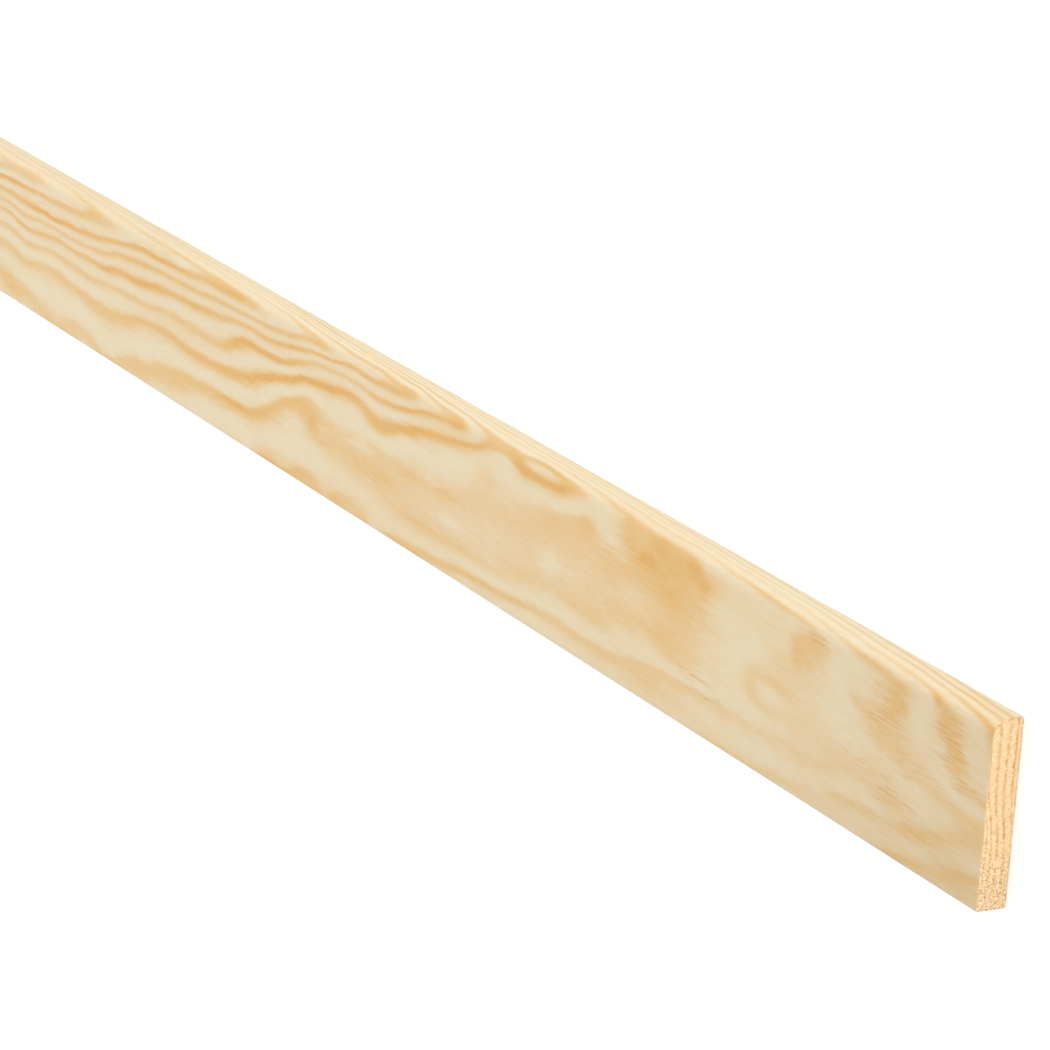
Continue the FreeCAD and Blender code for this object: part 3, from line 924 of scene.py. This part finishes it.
def sawn_wood():
    """End grain: the rings in cross-section, with crumbs and pits, roughest at the lower edge."""
    wood = Nodes(bpy.data.materials.new("sawn_pine_end"))
    place = wood.place()
    speck = wood.noise(place, (0.3, 1.1, 1.1), detail=3.0, roughness=0.65)
    crumb = wood.noise(place, (0.3, 0.6, 0.6), detail=3.0, roughness=0.6)
    patch = wood.noise(place, (0.3, 0.2, 0.4), detail=2.0, roughness=0.5)
    rough = wood.math("MULTIPLY_ADD", wood.across(place), -0.05, -0.4, clamp=True)

    ring = wood.total(wood.attribute("ring"), wood.centred(patch, 0.4), wood.centred(speck, 0.36))

    # Ring lines come and go in patches, and fade where the end is rough.
    line = wood.math("POWER", ring_darkness(wood, ring), 1.6)
    line = wood.math("MULTIPLY", line, wood.math("MULTIPLY_ADD", patch, 1.2, -0.27))
    line = wood.math("MULTIPLY", line, wood.math("MULTIPLY_ADD", rough, -0.6, 1.0))
    pit = wood.math("MULTIPLY", wood.centred(speck, 1.0), wood.math("MULTIPLY_ADD", rough, 2.8, 1.3))
    crumbs = wood.math("MULTIPLY_ADD", crumb, 0.8, -0.04)
    dark = wood.math("ADD", wood.total(line, pit), crumbs, clamp=True)
    colour = wood.ramp(dark, SAWN_COLOURS)
    height = wood.math("SUBTRACT", 1.0, dark)
    return wood.finish(colour, roughness=0.8, specular=0.15, height=height, bump_distance=0.0002)


def add_object(name, data):
    """Put a new object in the scene."""
    thing = bpy.data.objects.new(name, data)
    bpy.context.scene.collection.objects.link(thing)
    return thing


def add_board():
    """The dressed board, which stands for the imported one."""
    mesh, side_faces, places = build_board()
    lay_out(mesh, side_faces, places)
    mesh.materials.append(planed_wood())
    mesh.materials.append(sawn_wood())
    material = np.zeros(len(mesh.polygons), np.int32)
    material[side_faces:] = 1
    mesh.polygons.foreach_set("material_index", material)
    board = add_object("planed_board", mesh)
    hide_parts(NODE)
    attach(board, "root")


def floor_material():
    """Near-white floor that still takes the shadow of the board."""
    nodes = Nodes(bpy.data.materials.new("studio_floor"))
    white, glow = 0.9, 0.34
    diffuse = nodes.node("ShaderNodeBsdfDiffuse")
    diffuse.inputs["Color"].default_value = (white, white, white, 1)
    lift = nodes.node("ShaderNodeEmission")
    nodes.put(lift.inputs["Strength"], nodes.math("MULTIPLY", nodes.seen(), glow))
    both = nodes.node("ShaderNodeAddShader")
    nodes.put(both.inputs[0], diffuse.outputs[0])
    nodes.put(both.inputs[1], lift.outputs[0])
    output = nodes.node("ShaderNodeOutputMaterial")
    nodes.put(output.inputs["Surface"], both.outputs[0])
    return nodes.owner


def add_floor(reach=30.0, gap=0.0003):
    """Square floor, a hair under the board."""
    mesh = bpy.data.meshes.new("floor")
    corners = [(-reach, -reach, -gap), (reach, -reach, -gap), (reach, reach, -gap), (-reach, reach, -gap)]
    mesh.from_pydata(corners, [], [(0, 1, 2, 3)])
    mesh.materials.append(floor_material())
    floor = add_object("floor", mesh)


def add_world():
    """Even surroundings, which look white and light the board a little less."""
    light = 0.73
    world = bpy.data.worlds.new("studio")
    bpy.context.scene.world = world
    nodes = Nodes(world)
    background = nodes.node("ShaderNodeBackground")
    background.inputs["Color"].default_value = (1, 1, 1, 1)
    nodes.put(background.inputs["Strength"], nodes.math("MULTIPLY_ADD", nodes.seen(), 1 - light, light))
    output = nodes.node("ShaderNodeOutputWorld")
    nodes.put(output.inputs["Surface"], background.outputs[0])


def turn_to(thing, place, target, roll=0.0):
    """Put a lamp or camera in its place, facing a point, with a roll in degrees."""
    facing = (Vector(target) - Vector(place)).to_track_quat("-Z", "Y").to_matrix().to_4x4()
    rolled = Matrix.Rotation(math.radians(roll), 4, "Z")
    thing.matrix_world = Matrix.Translation(place) @ facing @ rolled


def add_lamp(name, place, target, size, power):
    """Square soft lamp that faces a point."""
    data = bpy.data.lights.new(name, "AREA")
    data.shape = "SQUARE"
    data.size = size
    data.energy = power
    turn_to(add_object(name, data), place, target)


def add_camera():
    """Camera that looks down on the near end as the photograph does."""
    data = bpy.data.cameras.new("camera")
    data.lens = 164.53
    data.sensor_width = 36.0
    camera = add_object("camera", data)
    near_end, face = high.x, high.z
    place = (near_end + 1.2465, 0.55228, 0.90111)
    turn_to(camera, place, target=(near_end - 0.32802, 0.00547, face), roll=-95.46)
    bpy.context.scene.camera = camera


add_board()
add_floor()
add_world()
add_lamp("key", (-2.5, 0.8, 5.0), target=(0.3, 0, 0), size=3.0, power=80)
add_lamp("edge", (0.4, 4.0, 0.6), target=(0.4, 0, 0), size=1.6, power=38)
add_lamp("end", (5.0, 0.5, 0.55), target=(high.x, 0, 0), size=1.5, power=75)
add_camera()
bpy.context.scene.view_settings.view_transform = "Standard"
